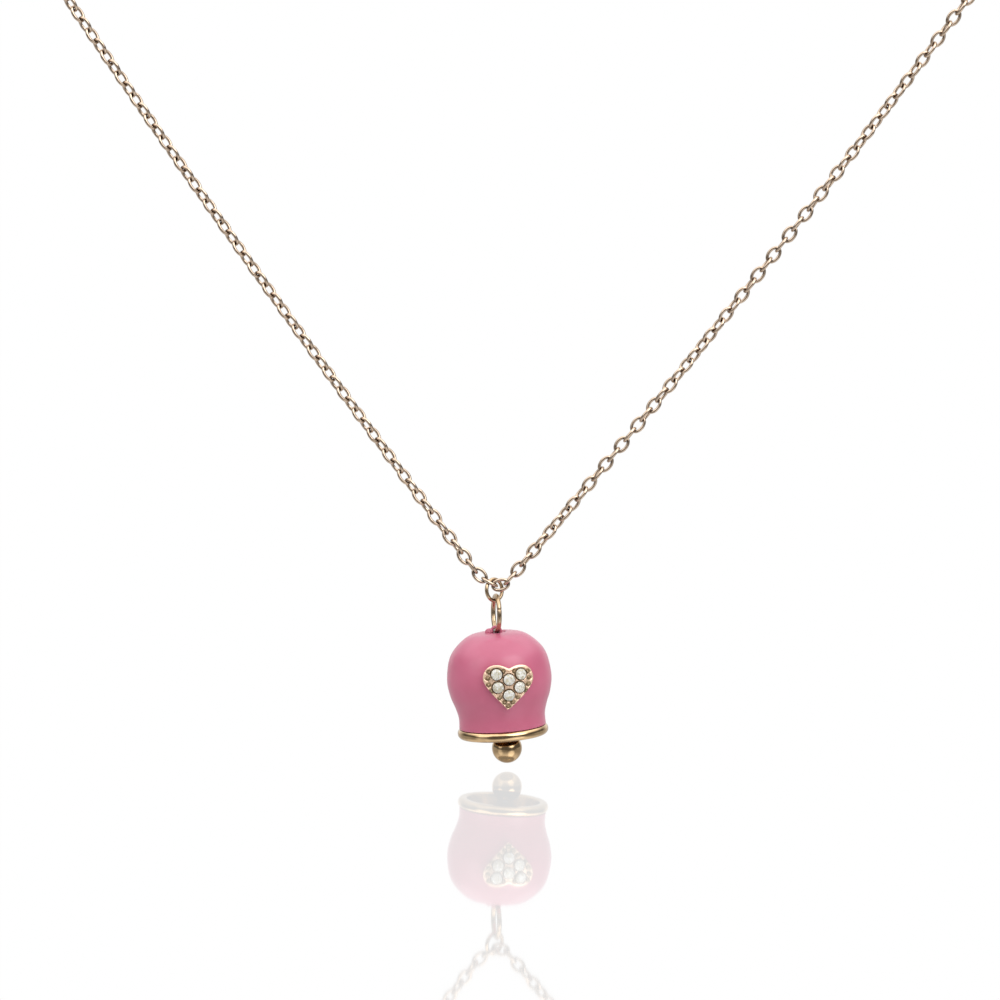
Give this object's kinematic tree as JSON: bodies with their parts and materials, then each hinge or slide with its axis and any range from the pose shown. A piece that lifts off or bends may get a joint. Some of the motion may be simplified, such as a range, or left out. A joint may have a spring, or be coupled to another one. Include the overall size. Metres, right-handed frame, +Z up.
{
  "type": "enamelled bell pendant on chain",
  "caption": "Small enamelled metal bell with a raised heart of clear stones and a swinging clapper, hung by two rings from the V of a fine cable chain whose strands end in flat rings.",
  "frame": {"origin": "middle of the underside of the bounding box at rest, level with the lowest point of the clapper ball", "axes": "+X from the left strand to the right strand, +Y away from the viewer, +Z up; the front of the bell faces -Y"},
  "size_m": [0.1016, 0.0118, 0.0864],
  "materials": {
    "chain_metal": "polished pale rose gold plating",
    "bell_metal": "polished pale rose gold plating",
    "enamel": "glossy pink enamel",
    "crystal": "cut and polished clear stone"
  },
  "bodies": {
    "centre_link": {"centre_link": "chain_metal"},
    "left_link_01": {"left_link_01": "chain_metal"},
    "left_link_02": {"left_link_02": "chain_metal"},
    "left_link_03": {"left_link_03": "chain_metal"},
    "left_link_04": {"left_link_04": "chain_metal"},
    "left_link_05": {"left_link_05": "chain_metal"},
    "left_link_06": {"left_link_06": "chain_metal"},
    "left_run_07": {"left_run_07": "chain_metal"},
    "left_run_08": {"left_run_08": "chain_metal"},
    "left_run_09": {"left_run_09": "chain_metal"},
    "left_run_10": {"left_run_10": "chain_metal"},
    "left_run_11": {"left_run_11": "chain_metal"},
    "left_run_12": {"left_run_12": "chain_metal"},
    "left_run_13": {"left_run_13": "chain_metal"},
    "left_run_14": {"left_run_14": "chain_metal"},
    "left_run_15": {"left_run_15": "chain_metal"},
    "left_run_16": {"left_run_16": "chain_metal"},
    "left_run_17": {"left_run_17": "chain_metal"},
    "left_end_ring": {"left_end_ring": "chain_metal"},
    "right_link_01": {"right_link_01": "chain_metal"},
    "right_link_02": {"right_link_02": "chain_metal"},
    "right_link_03": {"right_link_03": "chain_metal"},
    "right_link_04": {"right_link_04": "chain_metal"},
    "right_link_05": {"right_link_05": "chain_metal"},
    "right_link_06": {"right_link_06": "chain_metal"},
    "right_link_07": {"right_link_07": "chain_metal"},
    "right_link_08": {"right_link_08": "chain_metal"},
    "right_run_09": {"right_run_09": "chain_metal"},
    "right_run_10": {"right_run_10": "chain_metal"},
    "right_run_11": {"right_run_11": "chain_metal"},
    "right_run_12": {"right_run_12": "chain_metal"},
    "right_run_13": {"right_run_13": "chain_metal"},
    "right_run_14": {"right_run_14": "chain_metal"},
    "right_run_15": {"right_run_15": "chain_metal"},
    "right_run_16": {"right_run_16": "chain_metal"},
    "right_run_17": {"right_run_17": "chain_metal"},
    "right_run_18": {"right_run_18": "chain_metal"},
    "right_run_19": {"right_run_19": "chain_metal"},
    "right_end_ring": {"right_end_ring": "chain_metal"},
    "connector_ring": {"connector_ring": "bell_metal"},
    "bail_ring": {"bail_ring": "bell_metal"},
    "bell": {"bell_body": "bell_metal", "enamel_coat": "enamel", "top_eyelet": "enamel", "heart_plate": "bell_metal", "crystal_1": "crystal", "crystal_2": "crystal", "crystal_3": "crystal", "crystal_4": "crystal", "crystal_5": "crystal", "crystal_6": "crystal", "clapper_staple": "bell_metal"},
    "clapper_ring": {"clapper_ring": "bell_metal"},
    "clapper": {"clapper_stem": "bell_metal", "clapper_ball": "bell_metal"}
  },
  "joints": [
    {"name": "connector_swing", "type": "hinge", "parent": "centre_link", "child": "connector_ring", "pos_m": [-0.00282, 0.00041, 0.01977], "axis": [0.6894, 0.7131, 0.1278], "range_deg": [-6, 6]},
    {"name": "bail_swing", "type": "hinge", "parent": "connector_ring", "child": "bail_ring", "pos_m": [-0.0024, 0.00041, 0.01751], "axis": [0.6894, 0.7131, 0.1278], "range_deg": [-35, 35]},
    {"name": "bell_swing", "type": "hinge", "parent": "bail_ring", "child": "bell", "pos_m": [-0.0024, 0.00041, 0.01422], "axis": [-0.1732, 0.9848, -0.0121], "range_deg": [-35, 35]},
    {"name": "clapper_ring_swing", "type": "hinge", "parent": "bell", "child": "clapper_ring", "pos_m": [-0.00231, 0.0004, 0.01238], "axis": [0.9824, 0.1736, 0.0687], "range_deg": [-10, 10]},
    {"name": "clapper_swing", "type": "hinge", "parent": "clapper_ring", "child": "clapper", "pos_m": [-0.00225, 0.0004, 0.01148], "axis": [-0.1732, 0.9848, -0.0121], "range_deg": [-8, 11]},
    {"name": "left_link_01_swing", "type": "hinge", "parent": "centre_link", "child": "left_link_01", "pos_m": [-0.00272, 0.00008, 0.01932], "axis": [0.4848, 0, 0.8746], "range_deg": [-20, 20], "stiffness_Nm_per_rad": 0.003},
    {"name": "left_link_02_swing", "type": "hinge", "parent": "left_link_01", "child": "left_link_02", "pos_m": [-0.00386, 0.00008, 0.01996], "axis": [0, -1, 0], "range_deg": [-20, 20], "stiffness_Nm_per_rad": 0.003},
    {"name": "left_link_03_swing", "type": "hinge", "parent": "left_link_02", "child": "left_link_03", "pos_m": [-0.00476, 0.00008, 0.02089], "axis": [0.7144, 0.1175, 0.6898], "range_deg": [-45, 45], "stiffness_Nm_per_rad": 0.003},
    {"name": "left_link_04_swing", "type": "hinge", "parent": "left_link_03", "child": "left_link_04", "pos_m": [-0.00554, 0.00008, 0.02193], "axis": [-0.1732, 0.9763, -0.1295], "range_deg": [-45, 45], "stiffness_Nm_per_rad": 0.003},
    {"name": "left_link_05_swing", "type": "hinge", "parent": "left_link_04", "child": "left_link_05", "pos_m": [-0.00632, 0.00008, 0.02297], "axis": [-0.7649, -0.2984, -0.5708], "range_deg": [-45, 45], "stiffness_Nm_per_rad": 0.003},
    {"name": "left_link_06_swing", "type": "hinge", "parent": "left_link_05", "child": "left_link_06", "pos_m": [-0.00709, 0.00008, 0.02402], "axis": [0.2941, -0.9304, 0.219], "range_deg": [-45, 45], "stiffness_Nm_per_rad": 0.003},
    {"name": "left_run_07_swing", "type": "hinge", "parent": "left_link_06", "child": "left_run_07", "pos_m": [-0.00787, 0.00008, 0.02506], "axis": [0.7273, 0.4231, 0.5404], "range_deg": [-45, 45], "stiffness_Nm_per_rad": 0.003},
    {"name": "left_run_08_swing", "type": "hinge", "parent": "left_run_07", "child": "left_run_08", "pos_m": [-0.0119, 0.00008, 0.03051], "axis": [-0.4778, 0.8052, -0.3512], "range_deg": [-45, 45], "stiffness_Nm_per_rad": 0.003},
    {"name": "left_run_09_swing", "type": "hinge", "parent": "left_run_08", "child": "left_run_09", "pos_m": [-0.0159, 0.00008, 0.03599], "axis": [-0.6076, -0.66, -0.4418], "range_deg": [-45, 45], "stiffness_Nm_per_rad": 0.003},
    {"name": "left_run_10_swing", "type": "hinge", "parent": "left_run_09", "child": "left_run_10", "pos_m": [-0.01987, 0.00008, 0.04148], "axis": [0.5579, -0.7264, 0.4013], "range_deg": [-45, 45], "stiffness_Nm_per_rad": 0.003},
    {"name": "left_run_11_swing", "type": "hinge", "parent": "left_run_10", "child": "left_run_11", "pos_m": [-0.02381, 0.00008, 0.047], "axis": [0.5829, 0.6987, 0.4148], "range_deg": [-45, 45], "stiffness_Nm_per_rad": 0.003},
    {"name": "left_run_12_swing", "type": "hinge", "parent": "left_run_11", "child": "left_run_12", "pos_m": [-0.02772, 0.00008, 0.05254], "axis": [-0.5753, 0.7107, -0.4049], "range_deg": [-45, 45], "stiffness_Nm_per_rad": 0.003},
    {"name": "left_run_13_swing", "type": "hinge", "parent": "left_run_12", "child": "left_run_13", "pos_m": [-0.03161, 0.00008, 0.05809], "axis": [-0.5816, -0.7056, -0.4048], "range_deg": [-45, 45], "stiffness_Nm_per_rad": 0.003},
    {"name": "left_run_14_swing", "type": "hinge", "parent": "left_run_13", "child": "left_run_14", "pos_m": [-0.03546, 0.00008, 0.06367], "axis": [0.5819, -0.7078, 0.4006], "range_deg": [-45, 45], "stiffness_Nm_per_rad": 0.003},
    {"name": "left_run_15_swing", "type": "hinge", "parent": "left_run_14", "child": "left_run_15", "pos_m": [-0.03929, 0.00008, 0.06927], "axis": [0.5848, 0.7068, 0.3981], "range_deg": [-45, 45], "stiffness_Nm_per_rad": 0.003},
    {"name": "left_run_16_swing", "type": "hinge", "parent": "left_run_15", "child": "left_run_16", "pos_m": [-0.04309, 0.00008, 0.07488], "axis": [-0.5865, 0.7072, -0.3948], "range_deg": [-45, 45], "stiffness_Nm_per_rad": 0.003},
    {"name": "left_run_17_swing", "type": "hinge", "parent": "left_run_16", "child": "left_run_17", "pos_m": [-0.04686, 0.00008, 0.08052], "axis": [-0.5886, -0.7071, -0.3919], "range_deg": [-45, 45], "stiffness_Nm_per_rad": 0.003},
    {"name": "left_end_ring_swing", "type": "hinge", "parent": "left_run_17", "child": "left_end_ring", "pos_m": [-0.04909, 0.00008, 0.08389], "axis": [-0.5898, 0.7071, -0.39], "range_deg": [-45, 45], "stiffness_Nm_per_rad": 0.003},
    {"name": "right_link_01_swing", "type": "hinge", "parent": "centre_link", "child": "right_link_01", "pos_m": [-0.00122, 0.00008, 0.01963], "axis": [-0.7431, 0, 0.6691], "range_deg": [-20, 20], "stiffness_Nm_per_rad": 0.003},
    {"name": "right_link_02_swing", "type": "hinge", "parent": "right_link_01", "child": "right_link_02", "pos_m": [-0.00035, 0.00008, 0.0206], "axis": [0, 1, 0], "range_deg": [-20, 20], "stiffness_Nm_per_rad": 0.003},
    {"name": "right_link_03_swing", "type": "hinge", "parent": "right_link_02", "child": "right_link_03", "pos_m": [0.00048, 0.00008, 0.0216], "axis": [0.7554, -0.1716, -0.6324], "range_deg": [-45, 45], "stiffness_Nm_per_rad": 0.003},
    {"name": "right_link_04_swing", "type": "hinge", "parent": "right_link_03", "child": "right_link_04", "pos_m": [0.00131, 0.00008, 0.02259], "axis": [-0.2458, -0.9473, 0.2053], "range_deg": [-45, 45], "stiffness_Nm_per_rad": 0.003},
    {"name": "right_link_05_swing", "type": "hinge", "parent": "right_link_04", "child": "right_link_05", "pos_m": [0.00215, 0.00008, 0.02359], "axis": [-0.6863, 0.4496, 0.5718], "range_deg": [-45, 45], "stiffness_Nm_per_rad": 0.003},
    {"name": "right_link_06_swing", "type": "hinge", "parent": "right_link_05", "child": "right_link_06", "pos_m": [0.00298, 0.00008, 0.02459], "axis": [0.4322, 0.8271, -0.3593], "range_deg": [-45, 45], "stiffness_Nm_per_rad": 0.003},
    {"name": "right_link_07_swing", "type": "hinge", "parent": "right_link_06", "child": "right_link_07", "pos_m": [0.00381, 0.00008, 0.02559], "axis": [0.5788, -0.6592, -0.48], "range_deg": [-45, 45], "stiffness_Nm_per_rad": 0.003},
    {"name": "right_link_08_swing", "type": "hinge", "parent": "right_link_07", "child": "right_link_08", "pos_m": [0.00464, 0.00008, 0.02659], "axis": [-0.5719, -0.6701, 0.4732], "range_deg": [-45, 45], "stiffness_Nm_per_rad": 0.003},
    {"name": "right_run_09_swing", "type": "hinge", "parent": "right_link_08", "child": "right_run_09", "pos_m": [0.00546, 0.00008, 0.0276], "axis": [-0.4499, 0.8122, 0.3713], "range_deg": [-45, 45], "stiffness_Nm_per_rad": 0.003},
    {"name": "right_run_10_swing", "type": "hinge", "parent": "right_run_09", "child": "right_run_10", "pos_m": [0.00976, 0.00008, 0.03284], "axis": [0.7706, 0.1075, -0.6282], "range_deg": [-45, 45], "stiffness_Nm_per_rad": 0.003},
    {"name": "right_run_11_swing", "type": "hinge", "parent": "right_run_10", "child": "right_run_11", "pos_m": [0.01403, 0.00008, 0.03811], "axis": [-0.2634, -0.9411, 0.2121], "range_deg": [-45, 45], "stiffness_Nm_per_rad": 0.003},
    {"name": "right_run_12_swing", "type": "hinge", "parent": "right_run_11", "child": "right_run_12", "pos_m": [0.01826, 0.00008, 0.04341], "axis": [-0.5706, 0.6844, 0.4539], "range_deg": [-45, 45], "stiffness_Nm_per_rad": 0.003},
    {"name": "right_run_13_swing", "type": "hinge", "parent": "right_run_12", "child": "right_run_13", "pos_m": [0.02246, 0.00008, 0.04873], "axis": [0.7116, 0.4258, -0.5589], "range_deg": [-45, 45], "stiffness_Nm_per_rad": 0.003},
    {"name": "right_run_14_swing", "type": "hinge", "parent": "right_run_13", "child": "right_run_14", "pos_m": [0.02663, 0.00008, 0.05408], "axis": [0.0685, -0.9962, -0.0531], "range_deg": [-45, 45], "stiffness_Nm_per_rad": 0.003},
    {"name": "right_run_15_swing", "type": "hinge", "parent": "right_run_14", "child": "right_run_15", "pos_m": [0.03076, 0.00008, 0.05945], "axis": [-0.7697, 0.2444, 0.5897], "range_deg": [-45, 45], "stiffness_Nm_per_rad": 0.003},
    {"name": "right_run_16_swing", "type": "hinge", "parent": "right_run_15", "child": "right_run_16", "pos_m": [0.03487, 0.00008, 0.06485], "axis": [0.4268, 0.8448, -0.3229], "range_deg": [-45, 45], "stiffness_Nm_per_rad": 0.003},
    {"name": "right_run_17_swing", "type": "hinge", "parent": "right_run_16", "child": "right_run_17", "pos_m": [0.03894, 0.00008, 0.07027], "axis": [0.5173, -0.7636, -0.3864], "range_deg": [-45, 45], "stiffness_Nm_per_rad": 0.003},
    {"name": "right_run_18_swing", "type": "hinge", "parent": "right_run_17", "child": "right_run_18", "pos_m": [0.04298, 0.00008, 0.07571], "axis": [-0.7383, -0.398, 0.5446], "range_deg": [-45, 45], "stiffness_Nm_per_rad": 0.003},
    {"name": "right_run_19_swing", "type": "hinge", "parent": "right_run_18", "child": "right_run_19", "pos_m": [0.04698, 0.00008, 0.08118], "axis": [-0.1023, 0.992, 0.0745], "range_deg": [-45, 45], "stiffness_Nm_per_rad": 0.003},
    {"name": "right_end_ring_swing", "type": "hinge", "parent": "right_run_19", "child": "right_end_ring", "pos_m": [0.04935, 0.00008, 0.08446], "axis": [-0.8099, 0.0371, 0.5854], "range_deg": [-45, 45], "stiffness_Nm_per_rad": 0.003}
  ]
}
